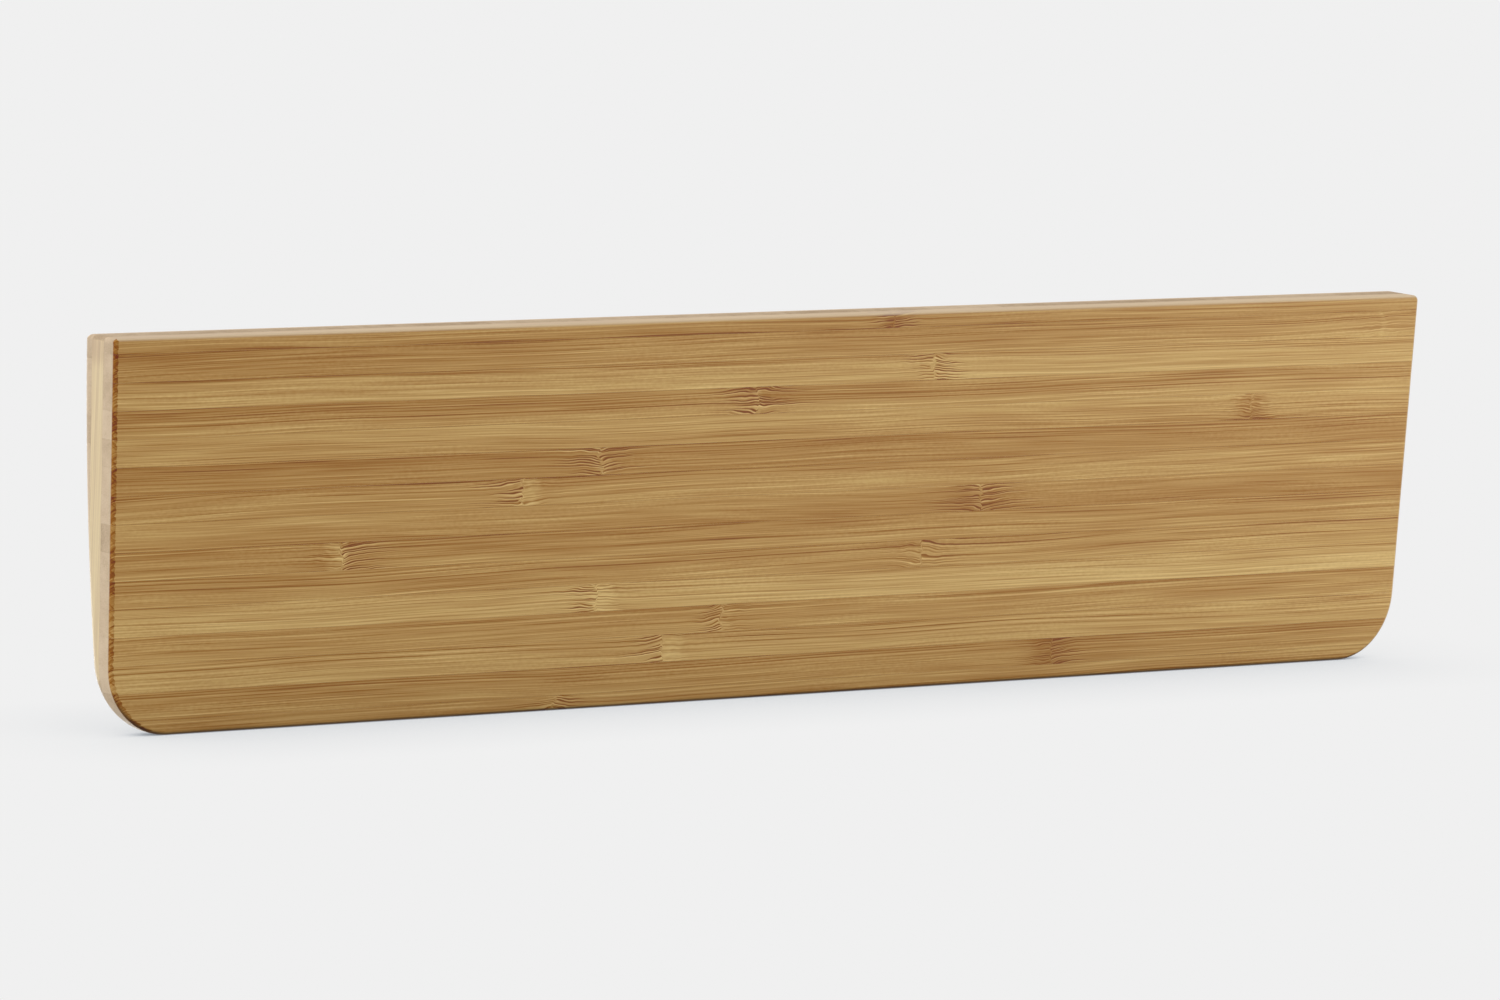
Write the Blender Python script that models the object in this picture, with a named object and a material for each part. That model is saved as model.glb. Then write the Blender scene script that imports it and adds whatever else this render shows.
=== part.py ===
"""Laminated bamboo wrist rest that lies in front of a keyboard.

The rest is one flat board, glued up from three bamboo plies and then machined to shape.
The underside ply and the palm ply are narrow strips that run lengthwise. The core ply
between them is slats that run crosswise. Every strip and slat is an object of its own,
and a thin glue line stays open between neighbours.

Frame: metres, +Z up, lying as it is used. The origin is at the middle of the underside,
X runs along the board, and +Y points to the keyboard.
"""
import math

import bmesh
import bpy
from mathutils import Vector

MM = 0.001

# Board
LENGTH = 360.0 * MM              # along the keyboard edge, the longest edge
DEPTH = 82.5 * MM                # keyboard edge to user edge
PLY = 4.0 * MM                   # each of the three plies
END_TAPER = 0.035                # each end leans in by this much per unit of depth
USER_CORNER_RADIUS = 15.5 * MM   # corners at the user edge, seen from above
PALM_ARC_RADIUS = 530.0 * MM     # palm face, level at the keyboard edge, falls to the user
PALM_ROUND = 3.0 * MM            # round-over along the palm side's rim
UNDER_ROUND = 1.0 * MM           # round-over along the underside's rim

# Strips and slats
STRIP_WIDTH = 5.85 * MM          # lengthwise strips, where they aren't cut by an edge
UNDER_FIRST = 3.225 * MM         # what is left of the strip at the keyboard edge
UNDER_STRIPS = 15
PALM_FIRST = 4.9 * MM
PALM_STRIPS = 11                 # beyond the last one the palm ply is machined away
SLAT_WIDTH = 20.0 * MM
CORE_SLATS = 18
GLUE_LINE = 0.2 * MM             # open gap between neighbours

# Fineness of the curved stretches
CORNER_STEPS = 7
END_STEPS = 12
PALM_ROUND_STEPS = 4
UNDER_ROUND_STEPS = 2

# Derived places
KEYBOARD_Y = DEPTH / 2
USER_Y = -DEPTH / 2
THICKNESS = 3 * PLY
CORE_BOTTOM = PLY
CORE_TOP = 2 * PLY
CLEAR = 5.0 * MM                 # how far a cutting block reaches past the board

BAMBOO_FACE = (0.42, 0.26, 0.11)
BAMBOO_CORE = (0.66, 0.48, 0.26)
BAMBOO_PALM = (0.46, 0.29, 0.13)


def clear_scene():
    for old in list(bpy.data.objects):
        bpy.data.objects.remove(old, do_unlink=True)


def bamboo_material(name, colour):
    material = bpy.data.materials.new(name)
    material.use_nodes = True
    shader = material.node_tree.nodes["Principled BSDF"]
    shader.inputs["Base Color"].default_value = (*colour, 1.0)
    shader.inputs["Roughness"].default_value = 0.5
    shader.inputs["Metallic"].default_value = 0.0
    return material


def palm_height(y):
    """Height of the palm face at y: an arc whose top is at the keyboard edge."""
    fall = KEYBOARD_Y - y
    return THICKNESS - PALM_ARC_RADIUS + math.sqrt(PALM_ARC_RADIUS ** 2 - fall ** 2)


def end_x(y):
    """Half length of the board at y, before its corners are rounded."""
    return LENGTH / 2 - END_TAPER * (KEYBOARD_Y - y)


def corner_centre():
    """Centre of the user corner's arc: one radius in from the end and the user edge."""
    slant = math.hypot(1.0, END_TAPER)
    y = USER_Y + USER_CORNER_RADIUS
    return Vector((end_x(y) - USER_CORNER_RADIUS * slant, y))


def half_outline(inset):
    """Points down the +X end and round its user corner, moved in by inset."""
    slant = math.hypot(1.0, END_TAPER)
    centre = corner_centre()
    radius = USER_CORNER_RADIUS - inset
    lean = math.atan(END_TAPER)
    arc = []
    for step in range(CORNER_STEPS + 1):
        angle = -lean + (lean - math.pi / 2) * step / CORNER_STEPS
        arc.append(centre + radius * Vector((math.cos(angle), math.sin(angle))))
    first_y = KEYBOARD_Y - inset
    last_y = arc[0].y
    end = []
    for step in range(END_STEPS):
        y = first_y + (last_y - first_y) * step / END_STEPS
        end.append(Vector((end_x(y) - inset * slant, y)))
    return end + arc


def ring_levels():
    """(inset, face, distance from that face) of each ring, from the underside up."""
    levels = []
    for step in range(UNDER_ROUND_STEPS + 1):
        angle = math.pi / 2 * step / UNDER_ROUND_STEPS
        inset = UNDER_ROUND * (1.0 - math.sin(angle))
        levels.append((inset, "under", UNDER_ROUND * (1.0 - math.cos(angle))))
    for step in range(PALM_ROUND_STEPS + 1):
        angle = math.pi / 2 * step / PALM_ROUND_STEPS
        inset = PALM_ROUND * (1.0 - math.cos(angle))
        levels.append((inset, "palm", PALM_ROUND * (1.0 - math.sin(angle))))
    return levels


def add_ring(mesh, inset, face, distance):
    """One closed loop of vertices: the +X half, then the -X half mirrored back."""
    half = half_outline(inset)
    loop = half + [Vector((-point.x, point.y)) for point in reversed(half)]
    ring = []
    for point in loop:
        z = distance if face == "under" else palm_height(point.y) - distance
        ring.append(mesh.verts.new((point.x, point.y, z)))
    return ring


def machined_envelope():
    """The finished board's outer shape, kept as a guide that the pieces are cut to."""
    mesh = bmesh.new()
    rings = [add_ring(mesh, *level) for level in ring_levels()]
    count = len(rings[0])
    for lower, upper in zip(rings, rings[1:]):
        for i in range(count):
            j = (i + 1) % count
            mesh.faces.new((lower[i], lower[j], upper[j], upper[i]))
    mesh.faces.new(list(reversed(rings[0])))
    top = rings[-1]
    for i in range(count // 2 - 1):
        mesh.faces.new((top[i], top[i + 1], top[count - 2 - i], top[count - 1 - i]))
    bmesh.ops.recalc_face_normals(mesh, faces=mesh.faces)
    data = bpy.data.meshes.new("machined_envelope")
    mesh.to_mesh(data)
    mesh.free()
    guide = bpy.data.objects.new("machined_envelope", data)
    guide.hide_render = True
    guide.display_type = "WIRE"
    bpy.context.collection.objects.link(guide)
    return guide


def block(name, low, high):
    """A sawn strip or slat before machining, with its origin at its middle."""
    low, high = Vector(low), Vector(high)
    size = high - low
    mesh = bmesh.new()
    bmesh.ops.create_cube(mesh, size=1.0)
    bmesh.ops.scale(mesh, vec=size, verts=mesh.verts)
    data = bpy.data.meshes.new(name)
    mesh.to_mesh(data)
    mesh.free()
    piece = bpy.data.objects.new(name, data)
    piece.location = (low + high) / 2
    bpy.context.collection.objects.link(piece)
    return piece


def machine(piece, envelope, material):
    """Cut a block to the finished board's shape."""
    cut = piece.modifiers.new("machined", "BOOLEAN")
    cut.operation = "INTERSECT"
    cut.solver = "EXACT"
    cut.object = envelope
    piece.data.materials.append(material)


def strip_spans(first_width, count):
    """Low and high y of each lengthwise strip, counted from the keyboard edge. An inner
    side stands half a glue line back from its joint, and the first strip's outer side
    reaches past the board."""
    joints = [KEYBOARD_Y - first_width - STRIP_WIDTH * i for i in range(count)]
    high_sides = [KEYBOARD_Y + CLEAR] + [joint - GLUE_LINE / 2 for joint in joints[:-1]]
    low_sides = [joint + GLUE_LINE / 2 for joint in joints]
    return list(zip(low_sides, high_sides))


def under_strips(envelope, material):
    """Lengthwise strips of the underside ply. The last one runs out past the user edge."""
    reach = LENGTH / 2 + CLEAR
    top = CORE_BOTTOM - GLUE_LINE / 2
    for number, (low_y, high_y) in enumerate(strip_spans(UNDER_FIRST, UNDER_STRIPS), start=1):
        low, high = (-reach, low_y, -CLEAR), (reach, high_y, top)
        machine(block(f"under_strip_{number:02d}", low, high), envelope, material)


def core_slats(envelope, material):
    """Crosswise slats of the core ply, numbered from the -X end."""
    reach = DEPTH / 2 + CLEAR
    bottom = CORE_BOTTOM + GLUE_LINE / 2
    top = CORE_TOP - GLUE_LINE / 2
    for i in range(CORE_SLATS):
        middle_x = SLAT_WIDTH * (i - (CORE_SLATS - 1) / 2)
        half_width = (SLAT_WIDTH - GLUE_LINE) / 2
        low, high = (middle_x - half_width, -reach, bottom), (middle_x + half_width, reach, top)
        machine(block(f"core_slat_{i + 1:02d}", low, high), envelope, material)


def palm_strips(envelope, material):
    """Lengthwise strips of the palm ply, as far as the palm face leaves them standing."""
    reach = LENGTH / 2 + CLEAR
    bottom = CORE_TOP + GLUE_LINE / 2
    for number, (low_y, high_y) in enumerate(strip_spans(PALM_FIRST, PALM_STRIPS), start=1):
        low, high = (-reach, low_y, bottom), (reach, high_y, THICKNESS + CLEAR)
        machine(block(f"palm_strip_{number:02d}", low, high), envelope, material)


def main():
    clear_scene()
    envelope = machined_envelope()
    under_strips(envelope, bamboo_material("bamboo_face", BAMBOO_FACE))
    core_slats(envelope, bamboo_material("bamboo_core", BAMBOO_CORE))
    palm_strips(envelope, bamboo_material("bamboo_palm", BAMBOO_PALM))


main()
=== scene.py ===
"""Looks of a laminated bamboo wrist rest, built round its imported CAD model.

Every strip and slat of the board is made again as a finely rounded piece that meets its
neighbours flush, and gets a solid bamboo texture of its own. The board lies as it is used,
underside down. The camera looks at its underside, with the keyboard edge up, and shows the
board as if it stood on its user edge.
"""
import math
from collections import namedtuple

import bmesh
import bpy
from mathutils import Matrix, Vector


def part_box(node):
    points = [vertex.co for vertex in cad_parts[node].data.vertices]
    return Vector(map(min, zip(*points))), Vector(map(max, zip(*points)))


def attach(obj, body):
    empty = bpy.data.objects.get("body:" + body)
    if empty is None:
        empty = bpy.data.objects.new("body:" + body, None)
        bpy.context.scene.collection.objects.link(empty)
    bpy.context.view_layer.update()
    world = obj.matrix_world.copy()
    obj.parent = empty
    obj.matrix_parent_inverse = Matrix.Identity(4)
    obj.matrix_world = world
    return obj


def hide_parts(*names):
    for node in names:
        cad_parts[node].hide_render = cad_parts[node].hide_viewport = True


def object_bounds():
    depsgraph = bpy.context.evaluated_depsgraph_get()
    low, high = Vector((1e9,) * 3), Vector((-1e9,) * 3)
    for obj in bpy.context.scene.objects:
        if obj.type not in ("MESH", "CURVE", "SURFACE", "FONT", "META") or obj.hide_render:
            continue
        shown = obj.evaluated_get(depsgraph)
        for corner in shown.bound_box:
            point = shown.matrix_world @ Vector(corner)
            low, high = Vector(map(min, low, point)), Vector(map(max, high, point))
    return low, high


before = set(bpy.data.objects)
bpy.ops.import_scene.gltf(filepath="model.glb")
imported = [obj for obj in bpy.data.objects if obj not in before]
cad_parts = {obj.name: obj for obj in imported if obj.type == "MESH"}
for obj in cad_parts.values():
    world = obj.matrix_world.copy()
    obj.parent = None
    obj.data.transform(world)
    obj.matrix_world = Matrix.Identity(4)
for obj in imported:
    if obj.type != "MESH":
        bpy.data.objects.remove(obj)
cad_low, cad_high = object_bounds()

MM = 0.001

# Shape of the machined board, as in the CAD model
END_TAPER = 0.035                # each end leans in by this much per unit of depth
USER_CORNER_RADIUS = 15.5 * MM
KEYBOARD_CORNER_RADIUS = 1.2 * MM
PALM_ARC_RADIUS = 530.0 * MM
PALM_ROUND = 3.0 * MM
UNDER_ROUND = 1.1 * MM
PLY = 4.0 * MM
THICKNESS = 3 * PLY
LENGTH = cad_high.x - cad_low.x
KEYBOARD_Y = cad_high.y
USER_Y = cad_low.y
HAIRLINE = 0.012 * MM            # open line between pieces that are glued together

# Fineness of the curved stretches
USER_CORNER_STEPS = 24
KEYBOARD_CORNER_STEPS = 5
END_STEPS = 16
PALM_ROUND_STEPS = 9
UNDER_ROUND_STEPS = 6
SHARP_ANGLE = math.radians(35)

# Camera, as seen by someone who looks at the standing board: degrees and metres
LENS_MM = 238.69
SENSOR_MM = 36.0
YAW = 39.056
PITCH = 7.160
ROLL = 3.014
DISTANCE = 2.1333
TARGET = (-0.01167, 0.0, 0.04312)

# Stage
BACKGROUND = (0.871, 0.871, 0.871)
WORLD_LIGHT = 0.355              # strength of the even white light from all round
FLOOR_SIZE = 2.0
FLOOR_GAP = 0.03 * MM            # between the board and the floor it is on
SHADOW_REACH = 42.0 * MM
BOUNCE_WIDTH = 1.6               # floor in front of the standing board that throws light back
BOUNCE_DEPTH = 0.6
BOUNCE_COLOUR = (0.8, 0.8, 0.8, 1.0)

# What a face of the board gets from the lights, and what its finish mirrors, on average
FACE_LIGHT = 0.80
FINISH_GLOSS = 0.02

# Bamboo: a tone is 0 dark to 1 light, and lengths are in mm
TONE_ZERO = 80                   # brightness on a screen, 0 to 255, at tone 0
SOAKED_ZERO = 66                 # the same on a cut that has drunk up finish
TONE_SPAN = 100                  # from tone 0 to tone 1
DRIFT_LENGTH = 340.0
STROKE_SPACING = 0.66            # dark strokes beside a knuckle
STROKE_TONE = -0.70
STROKE_HIGHLIGHT_SHIFT = 0.2                # how far a stroke's painted highlight, a pale edge as if the stroke were lit in relief, is from the stroke
# Tone of the painted highlight beside each stroke
STROKE_HIGHLIGHT_TONE = 0.24
UNDER_SEED = 3                   # seed of each family's first piece
CORE_SEED = 40
PALM_SEED = 80

# Relief of the fibres
BUMP_STRENGTH = 0.35
BUMP_DISTANCE = 0.05 * MM


# ---------------------------------------------------------------- board shape

def palm_height(y):
    """Height of the palm face at y: an arc whose top is at the keyboard edge."""
    fall = KEYBOARD_Y - y
    return THICKNESS - PALM_ARC_RADIUS + math.sqrt(PALM_ARC_RADIUS ** 2 - fall ** 2)


def end_x(y, inset):
    """Half length of the board at y, moved in by inset."""
    return LENGTH / 2 - END_TAPER * (KEYBOARD_Y - y) - inset * math.hypot(1.0, END_TAPER)


def corner_arc(edge_y, sign, radius, inset, first, last, steps):
    """Points round a corner between the +X end and the edge at edge_y. Its centre keeps
    its place while the inset is under the radius, and follows the mitre beyond it."""
    centre_inset = max(radius, inset)
    y = edge_y - sign * centre_inset
    centre = Vector((end_x(y, centre_inset), y))
    left = max(radius - inset, 0.0)
    angles = [first + (last - first) * step / steps for step in range(steps + 1)]
    return [centre + left * Vector((math.cos(a), math.sin(a))) for a in angles]


def half_outline(inset):
    """Points from the keyboard edge down the +X end to the user edge, moved in by inset."""
    lean = math.atan(END_TAPER)
    quarter = math.pi / 2
    top = corner_arc(KEYBOARD_Y, 1, KEYBOARD_CORNER_RADIUS, inset,
                     quarter, -lean, KEYBOARD_CORNER_STEPS)
    bottom = corner_arc(USER_Y, -1, USER_CORNER_RADIUS, inset,
                        -lean, -quarter, USER_CORNER_STEPS)
    end = [top[-1].lerp(bottom[0], step / END_STEPS) for step in range(1, END_STEPS)]
    return top + end + bottom


def ring_levels():
    """(inset, face, distance from that face) of each ring, from the underside up."""
    levels = []
    for step in range(UNDER_ROUND_STEPS + 1):
        angle = math.pi / 2 * step / UNDER_ROUND_STEPS
        inset = UNDER_ROUND * (1.0 - math.sin(angle))
        levels.append((inset, "under", UNDER_ROUND * (1.0 - math.cos(angle))))
    for step in range(PALM_ROUND_STEPS + 1):
        angle = math.pi / 2 * step / PALM_ROUND_STEPS
        inset = PALM_ROUND * (1.0 - math.cos(angle))
        levels.append((inset, "palm", PALM_ROUND * (1.0 - math.sin(angle))))
    return levels


def add_ring(board, inset, face, distance):
    half = half_outline(inset)
    loop = half + [Vector((-point.x, point.y)) for point in reversed(half)]
    ring = []
    for point in loop:
        z = distance if face == "under" else palm_height(point.y) - distance
        ring.append(board.verts.new((point.x, point.y, z)))
    return ring


def machined_board():
    """The whole board as one closed form, which the pieces are cut from."""
    board = bmesh.new()
    rings = [add_ring(board, *level) for level in ring_levels()]
    count = len(rings[0])
    for lower, upper in zip(rings, rings[1:]):
        for i in range(count):
            j = (i + 1) % count
            board.faces.new((lower[i], lower[j], upper[j], upper[i]))
    board.faces.new(list(reversed(rings[0])))
    top = rings[-1]
    for i in range(count // 2 - 1):
        board.faces.new((top[i], top[i + 1], top[count - 2 - i], top[count - 1 - i]))
    bmesh.ops.remove_doubles(board, verts=board.verts, dist=1e-7)
    bmesh.ops.recalc_face_normals(board, faces=board.faces)
    return board


def slice_off(piece, point, outward):
    """Cut the piece at a plane, drop what is outside it and close the cut."""
    everything = piece.verts[:] + piece.edges[:] + piece.faces[:]
    bmesh.ops.bisect_plane(piece, geom=everything, dist=1e-7, plane_co=point,
                           plane_no=outward, clear_outer=True)
    rim = [edge for edge in piece.edges if edge.is_boundary]
    if rim:
        bmesh.ops.edgeloop_fill(piece, edges=rim)


def cut_piece(board, name, spans):
    """One strip or slat: the board between the low and high ends of each axis's span,
    where an end of None leaves the board's own surface."""
    piece = board.copy()
    for axis, (low, high) in enumerate(spans):
        outward = Vector((0, 0, 0))
        outward[axis] = 1.0
        if low is not None:
            slice_off(piece, outward * (low + HAIRLINE / 2), -outward)
        if high is not None:
            slice_off(piece, outward * (high - HAIRLINE / 2), outward)
    bmesh.ops.recalc_face_normals(piece, faces=piece.faces)
    mesh = bpy.data.meshes.new(name)
    piece.to_mesh(mesh)
    piece.free()
    mesh.shade_smooth()
    mesh.set_sharp_from_angle(angle=SHARP_ANGLE)
    made = bpy.data.objects.new(name, mesh)
    bpy.context.scene.collection.objects.link(made)
    even = made.modifiers.new("even_normals", "WEIGHTED_NORMAL")
    even.keep_sharp = True
    even.weight = 100
    return made


def node_family(prefix, axis):
    """CAD nodes whose names start with prefix, in order along the axis, each with the
    places of its low and high glue joints. An outer side has None."""
    names = sorted((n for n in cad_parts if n.startswith(prefix)),
                   key=lambda n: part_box(n)[0][axis])
    joints = [None]
    for below, above in zip(names, names[1:]):
        joints.append((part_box(below)[1][axis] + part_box(above)[0][axis]) / 2)
    joints.append(None)
    return [(name, joints[i], joints[i + 1]) for i, name in enumerate(names)]


# ---------------------------------------------------------------- node helpers

class Graph:
    """Short ways to add shader nodes. An input takes a socket or a plain value."""

    def __init__(self, tree):
        self.tree = tree

    def node(self, kind, inputs=None, **settings):
        made = self.tree.nodes.new(kind)
        for key, value in settings.items():
            setattr(made, key, value)
        for key, value in (inputs or {}).items():
            self.put(made.inputs[key], value)
        return made

    def put(self, socket, value):
        if isinstance(value, bpy.types.NodeSocket):
            self.tree.links.new(value, socket)
        else:
            socket.default_value = value

    def math(self, operation, *values, clamp=False):
        made = self.node("ShaderNodeMath", operation=operation, use_clamp=clamp)
        for socket, value in zip(made.inputs, values):
            self.put(socket, value)
        return made.outputs[0]

    def add(self, a, b):
        return self.math("ADD", a, b)

    def sub(self, a, b):
        return self.math("SUBTRACT", a, b)

    def mul(self, *values):
        product = values[0]
        for value in values[1:]:
            product = self.math("MULTIPLY", product, value)
        return product

    def bell(self, value, width):
        """1 at zero, falling smoothly away over width."""
        scaled = self.math("DIVIDE", value, width)
        return self.math("EXPONENT", self.mul(scaled, scaled, -1.0))

    def rise(self, value, low, high, first=0.0, last=1.0):
        """Smooth step from first to last while value goes from low to high."""
        made = self.node("ShaderNodeMapRange", interpolation_type="SMOOTHSTEP")
        for socket, number in zip(made.inputs, (value, low, high, first, last)):
            self.put(socket, number)
        return made.outputs[0]

    def vector(self, x, y, z):
        return self.node("ShaderNodeCombineXYZ", {0: x, 1: y, 2: z}).outputs[0]

    def split(self, vector):
        return self.node("ShaderNodeSeparateXYZ", {0: vector}).outputs

    def noise(self, x, y, z=None, detail=1.0, roughness=0.5):
        """Noise with a mean near zero, mostly within -0.5 to 0.5. It is flat without a z."""
        made = self.node("ShaderNodeTexNoise", {
            "Vector": self.vector(x, y, 0.0 if z is None else z), "Scale": 1.0,
            "Detail": detail, "Roughness": roughness},
            noise_dimensions="2D" if z is None else "3D")
        return self.sub(made.outputs["Fac"], 0.5)

    def rows(self, value):
        """Rows about 1 apart along value, at random: the distance to the nearest row, and
        two random numbers for it."""
        made = self.node("ShaderNodeTexVoronoi", {"W": value, "Scale": 1.0},
                         voronoi_dimensions="1D")
        chances = self.split(made.outputs["Color"])
        return made.outputs["Distance"], chances[0], chances[1]

    def mix(self, factor, a, b, blend="MIX"):
        made = self.node("ShaderNodeMix", data_type="RGBA", blend_type=blend)
        self.put(made.inputs[0], factor)
        self.put(made.inputs[6], a)
        self.put(made.inputs[7], b)
        return made.outputs[2]

    def ramp(self, value, stops):
        made = self.node("ShaderNodeValToRGB", {0: value})
        elements = made.color_ramp.elements
        while len(elements) < len(stops):
            elements.new(0.5)
        for element, (place, colour) in zip(elements, stops):
            element.position = place
            element.color = colour
        return made.outputs[0]


def srgb(red, green, blue):
    """A colour given as it looks on a screen, 0 to 255, as linear values."""
    linear = []
    for part in (red, green, blue):
        part /= 255
        linear.append(part / 12.92 if part <= 0.04045 else ((part + 0.055) / 1.055) ** 2.4)
    return (*linear, 1.0)


# ---------------------------------------------------------------- bamboo

GROUP_INPUTS = (
    ("Grain", "NodeSocketVector", (0, 0, 0)),      # mm: along the grain, across it, deep
    ("Cut", "NodeSocketFloat", 0.0),               # 0 on a face along the grain, 1 on end grain
    ("Seed", "NodeSocketFloat", 0.0),
    ("Width", "NodeSocketFloat", 5.85),            # mm, across the strip
    ("Tone", "NodeSocketFloat", 0.6),              # 0 dark to 1 light, halfway along
    ("Drift", "NodeSocketFloat", 0.0),             # change of tone from the +X to the -X end
    ("Pale", "NodeSocketFloat", 0.0),              # how far the colour is bleached
    ("TopHighlight", "NodeSocketFloat", 0.0),          # 1 on the face toward the keyboard edge, painted paler as a highlight from light above
    ("ContactShade", "NodeSocketFloat", 0.0),         # 1 where the user edge's lower rim gets painted contact shade
    ("End", "NodeSocketFloat", 0.5),               # end grain, 0 dark to 1 light
    ("Skin", "NodeSocketFloat", 0.0),              # which side is dense with fibres: -1 to 1
    ("Soak", "NodeSocketFloat", 0.0),              # how dark a slanting cut has turned
    ("Knuckle", "NodeSocketFloat", 999.0),         # mm, its place along the grain
    ("Strokes", "NodeSocketVector", (0, 0, 8)),    # strength to + and to -, reach in mm
    ("Bend", "NodeSocketVector", (0, 0, 0)),       # mm to + and to -, and how far lines bow
    ("Scar", "NodeSocketVector", (0, 4, 0)),       # change of tone, width in mm, dark halo
)


def bamboo_colour(brightness):
    """Oiled bamboo as it looks on a screen at a brightness of 0 to 255, less the little
    white that its finish adds."""
    seen = srgb(57 + 0.82 * brightness, 1.07 * brightness - 14, 0.96 * brightness - 52)
    return (*(max(part - FINISH_GLOSS, 0.004) / FACE_LIGHT for part in seen[:3]), 1.0)


def tone_colour(g, tone, levels, zero=TONE_ZERO):
    """The colour of bamboo at a tone, exact at the given levels of tone."""
    return g.ramp(tone, [(level, bamboo_colour(zero + TONE_SPAN * level)) for level in levels])


def knuckle_lines(g, given, along, across, deep):
    """Distance along the grain from a knuckle's front, which side of it this is (0 low, 1
    high), distance across from the strip's middle, and the fibres' own coordinate across
    the grain, which swerves round the knuckle."""
    seed = given["Seed"]
    half = g.mul(given["Width"], 0.5)
    centred = g.sub(across, half)
    wobble = g.noise(g.mul(across, 0.45), g.mul(seed, 9.7))
    front = g.add(g.sub(along, given["Knuckle"]), g.mul(wobble, 3.0))
    side = g.rise(front, -0.25, 0.25)
    away = g.math("ABSOLUTE", front)

    to_high, to_low, bow = g.split(given["Bend"])
    tilt = g.add(g.mul(to_high, side), g.mul(to_low, g.sub(1.0, side)))
    line = g.add(across, g.mul(tilt, g.math("EXPONENT", g.mul(away, -0.28))))
    line = g.sub(line, g.mul(bow, centred, g.bell(front, 6.5)))
    waver = g.noise(g.mul(along, 0.2),
                    g.add(g.mul(g.add(across, deep), 0.5), g.mul(seed, 3.3)))
    return front, side, centred, g.add(line, g.mul(waver, g.bell(front, 9.0), 0.9))


def lines_along(g, along, line, spacing, length, width, least=0.0):
    """Thin lines along the grain, 0 to 1, about a spacing apart and width wide, in mm. Each
    line comes and goes over about a length, and a higher least leaves fewer of them."""
    gap, chance, other = g.rows(g.math("DIVIDE", line, spacing))
    radius = g.mul(g.add(0.4, g.mul(other, 0.6)), width / spacing)
    thin = g.rise(gap, g.mul(radius, 0.3), radius, 1.0, 0.0)
    fades = g.noise(g.math("DIVIDE", along, length), g.mul(chance, 90.0))
    strong = g.rise(g.add(fades, g.mul(g.sub(chance, least), 0.5)), 0.05, 0.45)
    return g.mul(thin, strong)


def knuckle_tone(g, given, front, side, line):
    """Change of tone round a knuckle: dark strokes where fibres dive, each with a painted
    highlight along one side as if lit in relief, and the blurred band of its scar."""
    to_high, to_low, reach = g.split(given["Strokes"])
    strength = g.add(g.mul(to_high, side), g.mul(to_low, g.sub(1.0, side)))
    away = g.math("ABSOLUTE", front)

    def comb(shift):
        """Strokes that start at the front, each with a reach of its own."""
        row = g.add(g.add(line, shift), g.mul(g.math("GREATER_THAN", front, 0.0), 31.0))
        gap, chance, other = g.rows(g.math("DIVIDE", row, STROKE_SPACING))
        ratio = g.math("DIVIDE", away, g.mul(reach, g.add(0.35, chance)))
        radius = g.rise(ratio, 0.1, 1.0, g.add(0.19, g.mul(other, 0.15)), 0.0)
        stroke = g.rise(gap, g.mul(radius, 0.3), g.add(radius, 0.01), 1.0, 0.0)
        start = g.rise(away, g.sub(other, 0.6), g.sub(g.mul(other, 1.2), 0.1))
        return g.mul(stroke, start, g.rise(ratio, 0.5, 1.1, 1.0, 0.0))

    change = g.mul(comb(0.0), strength, STROKE_TONE)
    # Painted highlight: a pale copy of the strokes, shifted to one side, as if they stood in
    # relief under light.
    change = g.add(change, g.mul(comb(STROKE_HIGHLIGHT_SHIFT), strength, STROKE_HIGHLIGHT_TONE))

    scar_tone, scar_width, halo_tone = g.split(given["Scar"])
    half = g.mul(scar_width, 0.5)
    lopsided = g.math("DIVIDE", g.sub(to_low, to_high), g.add(g.add(to_low, to_high), 0.01))
    from_scar = g.math("ABSOLUTE", g.sub(front, g.mul(lopsided, half)))
    halo = g.rise(away, 0.0, g.mul(reach, 0.9), 1.0, 0.0)
    change = g.sub(change, g.mul(halo_tone, halo))
    blur = g.noise(g.mul(front, 0.35), g.mul(line, 0.6))
    from_scar = g.add(from_scar, g.mul(blur, half, 1.6))
    band = g.rise(from_scar, g.mul(half, 0.35), g.mul(half, 1.35), 1.0, 0.0)
    return g.add(change, g.mul(scar_tone, band, g.add(1.0, g.mul(blur, 2.0))))


def glue_tone(g, given, along, across, centred):
    """A thin dark line of glue down each side, which comes and goes."""
    to_side = g.sub(g.mul(given["Width"], 0.5), g.math("ABSOLUTE", centred))
    glue = g.rise(to_side, 0.03, 0.15, 1.0, 0.0)
    fades = g.noise(g.mul(along, 0.03), g.add(g.mul(given["Seed"], 6.1), g.mul(across, 0.2)))
    return g.mul(glue, g.rise(fades, -0.16, 0.18, -0.04, -0.24))


def slant_marks(g, across, deep, seed):
    """Dark marks that cross over each other where a rounded edge cuts the fibres."""
    marks = []
    for lean in (1.3, -1.3):
        slanted = g.add(across, g.mul(deep, lean))
        noise = g.noise(g.mul(slanted, 1.25), g.add(seed, lean))
        marks.append(g.rise(noise, 0.0, 0.16))
    return g.math("MAXIMUM", *marks)


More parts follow.
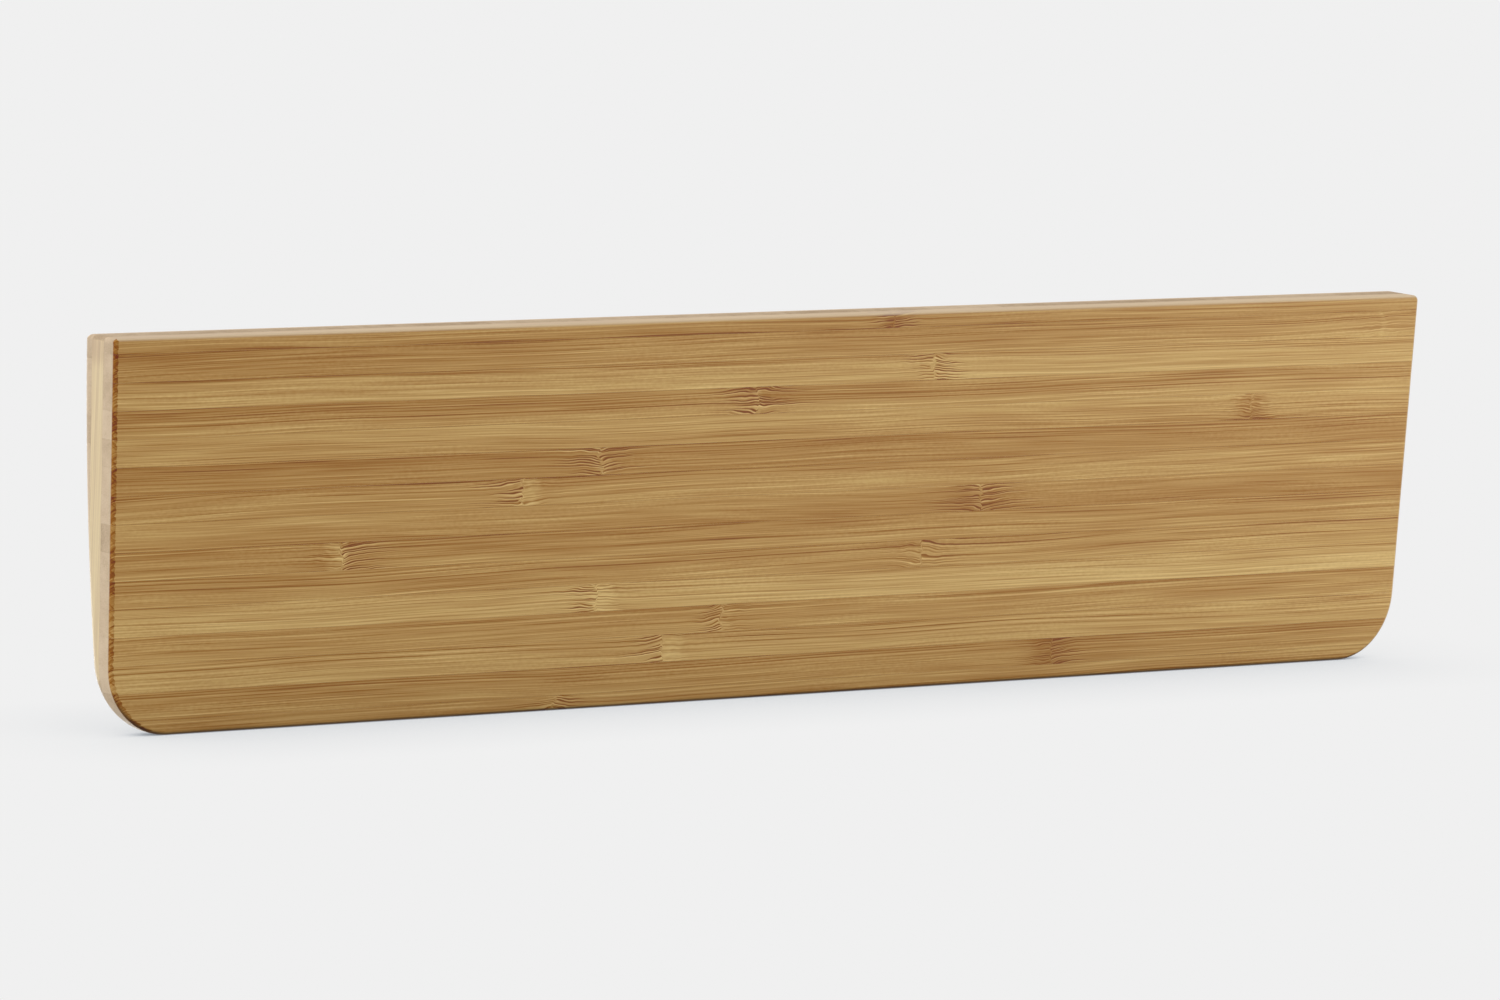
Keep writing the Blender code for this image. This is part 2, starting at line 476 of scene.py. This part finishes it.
def bamboo_group():
    """Solid bamboo: fibre bundles that run along the grain through pale ground tissue.
    A face along the grain shows them as streaks, and end grain shows them as dots."""
    tree = bpy.data.node_groups.new("bamboo", "ShaderNodeTree")
    for name, kind, value in GROUP_INPUTS:
        socket = tree.interface.new_socket(name, in_out="INPUT", socket_type=kind)
        socket.default_value = value
    for name, kind in (("Color", "NodeSocketColor"), ("Roughness", "NodeSocketFloat"),
                       ("Height", "NodeSocketFloat")):
        tree.interface.new_socket(name, in_out="OUTPUT", socket_type=kind)
    g = Graph(tree)
    given = g.node("NodeGroupInput").outputs
    along, across, deep = g.split(given["Grain"])
    seed = given["Seed"]
    front, side, centred, line = knuckle_lines(g, given, along, across, deep)

    # The whole strip's fibres wander a little, and lean a little off its length.
    slow = g.noise(g.mul(along, 0.011), g.mul(seed, 17.3))
    lean = g.mul(g.sub(g.math("FRACT", g.mul(seed, 0.618)), 0.5), 0.014)
    line = g.add(g.add(line, g.mul(slow, 1.3)), g.mul(along, lean))
    line = g.add(line, g.mul(seed, 17.3))
    layer = g.add(deep, g.mul(slow, 0.7))

    rows = g.add(line, g.mul(layer, 0.8))
    broad = g.noise(g.mul(along, 0.006), g.mul(line, 0.34), g.mul(layer, 0.34))
    middle = g.noise(g.mul(along, 0.012), g.mul(rows, 1.0))
    fine = g.noise(g.mul(along, 0.028), g.mul(rows, 2.6), detail=1.5, roughness=0.7)
    patch = g.noise(g.mul(along, 0.018), g.mul(line, 0.2))
    mottle = g.noise(g.mul(along, 0.8), g.mul(rows, 1.7))
    dark_lines = lines_along(g, along, rows, 1.2, 60.0, 0.22, 0.2)
    thin_lines = lines_along(g, along, g.add(rows, 90.0), 0.6, 25.0, 0.16)
    pale_lines = lines_along(g, along, g.add(rows, 200.0), 0.9, 40.0, 0.17)
    skin = g.mul(g.math("DIVIDE", centred, given["Width"]), given["Skin"])
    dense = g.add(0.7, skin)

    tone = g.add(given["Tone"], g.mul(along, given["Drift"], -1 / DRIFT_LENGTH))
    for layer_of_tone, amount in ((broad, 0.14), (middle, 0.15), (fine, 0.57), (skin, -0.10),
                                  (patch, 0.14), (pale_lines, 0.20)):
        tone = g.add(tone, g.mul(layer_of_tone, amount))
    tone = g.add(tone, g.mul(mottle, g.rise(patch, -0.05, 0.12, 0.04, 0.16)))
    tone = g.sub(tone, g.mul(dark_lines, dense, 0.40))
    tone = g.sub(tone, g.mul(thin_lines, dense, 0.34))
    tone = g.add(tone, knuckle_tone(g, given, front, side, line))
    tone = g.add(tone, glue_tone(g, given, along, across, centred))

    face = tone_colour(g, tone, (0.0, 0.2, 0.4, 0.6, 0.8, 1.0))
    face = g.mix(given["Pale"], face, g.mix(0.5, face, (0.72, 0.70, 0.66, 1.0)))
    # Painted highlight: the face toward the keyboard edge, the top in the underside view, is
    # mixed toward pale cream.
    face = g.mix(g.mul(given["TopHighlight"], 0.75), face, (0.58, 0.47, 0.335, 1.0))

    # End grain: pale tissue with fine speckles
    speckle = g.noise(along, g.mul(across, 4.0), g.mul(deep, 4.0), detail=2.0, roughness=0.7)
    end = g.ramp(g.add(g.add(given["End"], g.mul(broad, 0.35)), g.mul(speckle, 0.55)), (
        (0.0, srgb(150, 126, 98)),
        (0.5, srgb(204, 182, 154)),
        (1.0, srgb(228, 210, 184)),
    ))
    soaked_tone = g.sub(g.sub(tone, 0.08), g.mul(slant_marks(g, across, deep, seed), 0.26))
    soaked = tone_colour(g, soaked_tone, (0.0, 0.3, 0.6, 1.0), zero=SOAKED_ZERO)
    slanting = g.mix(g.rise(given["Cut"], 0.05, 0.6), face, end)
    slanting = g.mix(given["Soak"], slanting, soaked)
    teeth = g.math("PINGPONG", g.add(across, g.mul(middle, 0.8)), 0.7)
    ragged = g.sub(given["Cut"], g.mul(teeth, g.add(0.30, middle)))
    colour = g.mix(g.rise(ragged, 0.04, 0.12), face, slanting)
    colour = g.mix(g.rise(given["Cut"], 0.90, 0.985), colour, end)
    # Painted shade: where the user edge's rim meets the floor it is darkened to about a third,
    # standing in for the contact shadow.
    painted_contact_shade = g.mix(1.0, colour, (0.34, 0.32, 0.30, 1.0), "MULTIPLY")
    colour = g.mix(given["ContactShade"], colour, painted_contact_shade)

    height = g.sub(g.mul(fine, 0.5), g.mul(dark_lines, 0.5))
    rough = g.add(g.add(0.47, g.mul(fine, 0.16)), g.rise(given["Cut"], 0.5, 1.0, 0.0, 0.12))
    result = g.node("NodeGroupOutput")
    g.put(result.inputs["Color"], colour)
    g.put(result.inputs["Roughness"], rough)
    g.put(result.inputs["Height"], height)
    return tree


def bamboo_material(name, group, grain_axis, low_side, settings):
    """Bamboo whose grain runs along grain_axis ("x" or "y"), for a piece whose low side
    across the grain is at low_side, in metres."""
    material = bpy.data.materials.new(name)
    material.use_nodes = True
    tree = material.node_tree
    g = Graph(tree)
    shader = tree.nodes["Principled BSDF"]
    place = g.node("ShaderNodeTexCoord").outputs
    in_mm = g.node("ShaderNodeVectorMath", {0: place["Object"], "Scale": 1 / MM},
                   operation="SCALE").outputs[0]
    x, y, z = g.split(in_mm)
    normal = g.split(place["Normal"])
    if grain_axis == "x":
        grain = g.vector(x, g.sub(y, low_side / MM), z)
        facing, sideways = normal[0], normal[1]
    else:
        grain = g.vector(y, g.sub(x, low_side / MM), z)
        facing, sideways = normal[1], 0.0
    made = g.node("ShaderNodeGroup", node_tree=group)
    for key, value in settings.items():
        made.inputs[key].default_value = value
    g.put(made.inputs["Grain"], grain)
    g.put(made.inputs["Cut"], g.math("ABSOLUTE", facing))
    # Painted highlight mask: faces turned toward the keyboard edge (+Y).
    g.put(made.inputs["TopHighlight"], g.rise(sideways, 0.35, 0.85))
    downward = g.rise(normal[2], -0.30, -0.08, 1.0, 0.0)
    # Painted shade mask: faces that look down and toward the user edge, where the board meets the
    # floor.
    g.put(made.inputs["ContactShade"], g.mul(downward, g.rise(sideways, -0.7, -0.25, 1.0, 0.0)))
    # The underside's rim is darkened, as finish soaked into its cut fibres, only at the +X end;
    # at the -X end it is left pale, as a painted highlight.
    g.put(made.inputs["Soak"], g.mul(downward, g.rise(facing, -0.05, 0.05), settings["Soak"]))
    # Less of the finish has gone into faces that stand upright.
    level = g.math("ABSOLUTE", normal[2])
    g.put(made.inputs["Pale"], g.rise(level, 0.3, 0.8, settings["Pale"], 0.3 * settings["Pale"]))
    bump = g.node("ShaderNodeBump", {"Strength": BUMP_STRENGTH, "Distance": BUMP_DISTANCE,
                                     "Height": made.outputs["Height"]})
    g.put(shader.inputs["Base Color"], made.outputs["Color"])
    g.put(shader.inputs["Roughness"], made.outputs["Roughness"])
    g.put(shader.inputs["Normal"], bump.outputs[0])
    shader.inputs["IOR"].default_value = 1.45
    shader.inputs["Specular IOR Level"].default_value = 0.3
    return material


# Looks of one lengthwise strip, named as the inputs above are
Look = namedtuple("Look", "tone drift knuckle strokes bend scar")

# Underside strips, from the keyboard edge
UNDER_LOOKS = (
    Look(0.54, 0.05, -26, (1.0, 1.0, 10), (-0.4, 0.6, 0.1), (-0.10, 5, 0.14)),
    Look(0.54, 0.13, -169, (0.1, 0.1, 5), (0.0, 0.0, 0.0), (0.06, 2, 0.0)),
    Look(0.69, 0.09, -38, (0.7, 1.0, 12), (0.0, -0.7, 0.0), (0.03, 5, 0.04)),
    Look(0.58, 0.09, 11, (1.2, 1.2, 17), (0.2, -0.2, 0.3), (0.12, 3, 0.10)),
    Look(0.67, -0.01, -131, (0.35, 0.45, 9), (0.3, -0.3, 0.2), (-0.10, 9, 0.05)),
    Look(0.50, 0.02, 53, (1.0, 1.0, 17), (0.6, 1.0, 0.0), (0.13, 5, 0.03)),
    Look(0.60, 0.06, 73, (1.0, 0.3, 19), (-0.3, 0.4, 0.25), (0.15, 6, 0.02)),
    Look(0.55, -0.14, -53, (0.9, 1.1, 18), (0.5, 0.9, 0.1), (0.13, 5, 0.12)),
    Look(0.56, 0.03, 120, (0.5, 1.1, 17), (0.3, 1.3, 0.0), (0.16, 6, 0.03)),
    Look(0.61, 0.10, -37, (0.4, 0.4, 20), (0.5, -0.5, 0.3), (0.03, 8, 0.0)),
    Look(0.77, 0.06, 52, (0.9, 0.4, 13), (0.3, -0.3, 0.0), (0.14, 7, 0.0)),
    Look(0.63, 0.00, 18, (0.8, 0.4, 10), (-1.0, 0.0, 0.0), (0.09, 5, 0.02)),
    Look(0.71, 0.02, 34, (1.0, 0.2, 14), (-1.1, 0.0, 0.0), (0.14, 7, 0.0)),
    Look(0.58, 0.00, -76, (0.4, 1.0, 13), (-0.3, 1.0, 0.0), (-0.06, 9, 0.10)),
    Look(0.59, 0.07, 62, (0.5, 0.9, 13), (-0.4, -0.9, 0.0), (0.09, 5, 0.0)),
)


def repeatable(number, salt):
    """A number from 0 to 1 that looks random and is the same each run."""
    return math.sin(number * 12.9898 + salt * 78.233) * 43758.5453 % 1.0


def lengthwise_settings(number, look, soak):
    return {"Seed": number, "Tone": look.tone, "Drift": look.drift, "Soak": soak,
            "End": 0.33 + 0.3 * repeatable(number, 1),
            "Skin": 1.0 if repeatable(number, 2) > 0.5 else -1.0, "Pale": 0.0,
            "Knuckle": float(look.knuckle), "Strokes": look.strokes, "Bend": look.bend,
            "Scar": look.scar}


def under_settings(number):
    look = UNDER_LOOKS[len(UNDER_LOOKS) - 1 - number]
    return lengthwise_settings(UNDER_SEED + number, look, 1.0)


def palm_settings(number):
    def between(salt, low, high):
        return low + (high - low) * repeatable(number, salt)

    look = Look(between(6, 0.52, 0.72), between(7, -0.06, 0.06), between(8, -150, 150),
                (between(9, 0.3, 1.0), between(10, 0.3, 1.0), between(11, 8, 18)),
                (between(12, -1.0, 1.0), between(13, -1.0, 1.0), between(14, 0.0, 0.3)),
                (between(15, -0.09, 0.09), between(16, 4, 9), between(17, 0.0, 0.12)))
    return lengthwise_settings(PALM_SEED + number, look, 0.3)


def core_settings(number):
    return {"Seed": CORE_SEED + number, "Tone": 0.90 + 0.1 * repeatable(number, 3),
            "End": 0.10 + 0.18 * repeatable(number, 4), "Skin": repeatable(number, 5) - 0.5,
            "Pale": 0.7, "Soak": 0.2}


def make_family(board, group, prefix, axis, grain_axis, spans_for, settings_for):
    for number, (node, low, high) in enumerate(node_family(prefix, axis)):
        piece = cut_piece(board, node + "_bamboo", spans_for(low, high))
        box_low, box_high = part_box(node)
        low_side = box_low[axis] if low is None else low
        high_side = box_high[axis] if high is None else high
        settings = settings_for(number)
        settings["Width"] = (high_side - low_side) / MM
        material = bamboo_material(node + "_bamboo", group, grain_axis, low_side, settings)
        piece.data.materials.append(material)
        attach(piece, "root")
        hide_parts(node)


def make_board():
    board = machined_board()
    group = bamboo_group()
    make_family(board, group, "under_strip", 1, "x",
                lambda low, high: ((None, None), (low, high), (None, PLY)),
                under_settings)
    make_family(board, group, "core_slat", 0, "y",
                lambda low, high: ((low, high), (None, None), (PLY, 2 * PLY)),
                core_settings)
    make_family(board, group, "palm_strip", 1, "x",
                lambda low, high: ((None, None), (low, high), (2 * PLY, None)),
                palm_settings)
    board.free()


# ---------------------------------------------------------------- stage

def floor_material(name, seen_from_below):
    """A floor as bright as the background, with a painted shadow, from ambient occlusion, where
    the board stands close over it. It shows only to a camera on one side of the underside's
    plane, below it or above it."""
    material = bpy.data.materials.new(name)
    material.use_nodes = True
    tree = material.node_tree
    tree.nodes.clear()
    g = Graph(tree)
    # Painted shadow: ambient occlusion darkens the floor's glow near the board.
    openness = g.node("ShaderNodeAmbientOcclusion", {"Distance": SHADOW_REACH}, samples=6)
    shade = g.ramp(openness.outputs["AO"], (
        (0.0, (0.20, 0.21, 0.23, 1.0)),
        (0.3, (0.60, 0.63, 0.67, 1.0)),
        (0.5, (0.87, 0.88, 0.89, 1.0)),
        (1.0, (1.0, 1.0, 1.0, 1.0)),
    ))
    glow = g.node("ShaderNodeEmission", {0: g.mix(1.0, shade, (*BACKGROUND, 1.0), "MULTIPLY")})
    clear = g.node("ShaderNodeBsdfTransparent")
    viewer = g.split(g.node("ShaderNodeNewGeometry").outputs["Incoming"])
    shown = g.math("LESS_THAN" if seen_from_below else "GREATER_THAN", viewer[2], 0.0)
    blend = g.node("ShaderNodeMixShader", {0: shown, 1: clear.outputs[0], 2: glow.outputs[0]})
    output = g.node("ShaderNodeOutputMaterial")
    g.put(output.inputs["Surface"], blend.outputs[0])
    return material


def stage_plane(name, matrix, width, depth, material):
    mesh = bpy.data.meshes.new(name)
    corners = [(x * width / 2, y * depth / 2, 0) for x, y in ((-1, -1), (1, -1), (1, 1), (-1, 1))]
    mesh.from_pydata(corners, [], [(0, 1, 2, 3)])
    mesh.materials.append(material)
    plane = bpy.data.objects.new(name, mesh)
    plane.matrix_world = matrix
    bpy.context.scene.collection.objects.link(plane)
    return plane


def only_for_camera(plane):
    plane.visible_diffuse = False
    plane.visible_glossy = False
    plane.visible_transmission = False
    plane.visible_shadow = False


def make_stage():
    """One floor for the board as it lies, and one for the board on its user edge."""
    lying = Matrix.Translation((0, 0, -FLOOR_GAP))
    only_for_camera(stage_plane("floor_under_lying_board", lying, FLOOR_SIZE, FLOOR_SIZE,
                                floor_material("lying_floor", False)))
    upright = Matrix.Rotation(-math.pi / 2, 4, "X")
    standing = Matrix.Translation((0, USER_Y - FLOOR_GAP, 0)) @ upright
    only_for_camera(stage_plane("floor_under_standing_board", standing, FLOOR_SIZE, FLOOR_SIZE,
                                floor_material("standing_floor", True)))

    # In front of the standing board, its floor also keeps light off and throws some back.
    bounce = bpy.data.materials.new("bounce")
    bounce.use_nodes = True
    shader = bounce.node_tree.nodes["Principled BSDF"]
    shader.inputs["Base Color"].default_value = BOUNCE_COLOUR
    middle = (0, USER_Y - FLOOR_GAP, -2 * FLOOR_GAP - BOUNCE_DEPTH / 2)
    blocker = stage_plane("floor_ahead_of_standing_board", Matrix.Translation(middle) @ upright,
                          BOUNCE_WIDTH, BOUNCE_DEPTH, bounce)
    blocker.visible_camera = False


def area_light(name, place, size, power, mirrored=True):
    """A square light aimed at the origin. The finish shows no sheen of one not mirrored."""
    data = bpy.data.lights.new(name, "AREA")
    data.shape = "SQUARE"
    data.size = size
    data.energy = power
    light = bpy.data.objects.new(name, data)
    light.location = place
    light.rotation_mode = "QUATERNION"
    light.rotation_quaternion = (-Vector(place)).to_track_quat("-Z", "Y")
    light.visible_camera = False
    light.visible_glossy = mirrored
    bpy.context.scene.collection.objects.link(light)


def make_lights():
    # For the underside view, in which +Y is up and +X is on the left
    area_light("above_standing", (0.0, 1.0, 0.45), 1.0, 10.8, mirrored=False)
    area_light("left_of_standing", (1.3, 0.25, 0.1), 0.9, 8.6, mirrored=False)
    area_light("sheen_of_standing", (-1.0, -0.05, -0.85), 0.6, 3.5)
    area_light("front_right_of_standing", (-0.75, 0.3, -0.55), 0.6, 2.9)
    area_light("front_of_standing", (0.5, 0.6, -1.1), 0.9, 1.0)
    # For the views of the board as it lies
    area_light("above_lying", (-0.3, -0.25, 1.4), 1.1, 12.5)


def make_world():
    """The camera sees an even pale background; everything else gets soft white light."""
    world = bpy.data.worlds.new("studio")
    world.use_nodes = True
    tree = world.node_tree
    tree.nodes.clear()
    g = Graph(tree)
    light = g.node("ShaderNodeBackground", {"Color": (1.0, 1.0, 1.0, 1.0),
                                            "Strength": WORLD_LIGHT})
    seen = g.node("ShaderNodeBackground", {"Color": (*BACKGROUND, 1.0), "Strength": 1.0})
    camera_ray = g.node("ShaderNodeLightPath").outputs["Is Camera Ray"]
    mixed = g.node("ShaderNodeMixShader",
                   {0: camera_ray, 1: light.outputs[0], 2: seen.outputs[0]})
    output = g.node("ShaderNodeOutputWorld")
    g.put(output.inputs["Surface"], mixed.outputs[0])
    bpy.context.scene.world = world


def make_camera():
    """The camera is set up for the standing board, in a frame with X right, Y away from
    the camera and Z up, and then carried over to the frame in which the board lies."""
    yaw, pitch, roll = (math.radians(v) for v in (YAW, PITCH, ROLL))
    forward = Vector((math.sin(yaw) * math.cos(pitch), math.cos(yaw) * math.cos(pitch),
                      -math.sin(pitch)))
    level = Vector((math.cos(yaw), -math.sin(yaw), 0.0))
    upright = level.cross(forward)
    right = level * math.cos(roll) + upright * math.sin(roll)
    up = upright * math.cos(roll) - level * math.sin(roll)
    standing = Matrix((
        (right.x, up.x, -forward.x),
        (right.y, up.y, -forward.y),
        (right.z, up.z, -forward.z))).to_4x4()
    standing.translation = Vector(TARGET) - forward * DISTANCE
    lay_down = Matrix(((-1, 0, 0, 0), (0, 0, 1, USER_Y), (0, 1, 0, 0), (0, 0, 0, 1)))
    data = bpy.data.cameras.new("camera")
    data.lens = LENS_MM
    data.sensor_width = SENSOR_MM
    camera = bpy.data.objects.new("camera", data)
    camera.matrix_world = lay_down @ standing
    bpy.context.scene.collection.objects.link(camera)
    bpy.context.scene.camera = camera


make_board()
make_stage()
make_lights()
make_world()
make_camera()
bpy.context.scene.view_settings.view_transform = "Standard"
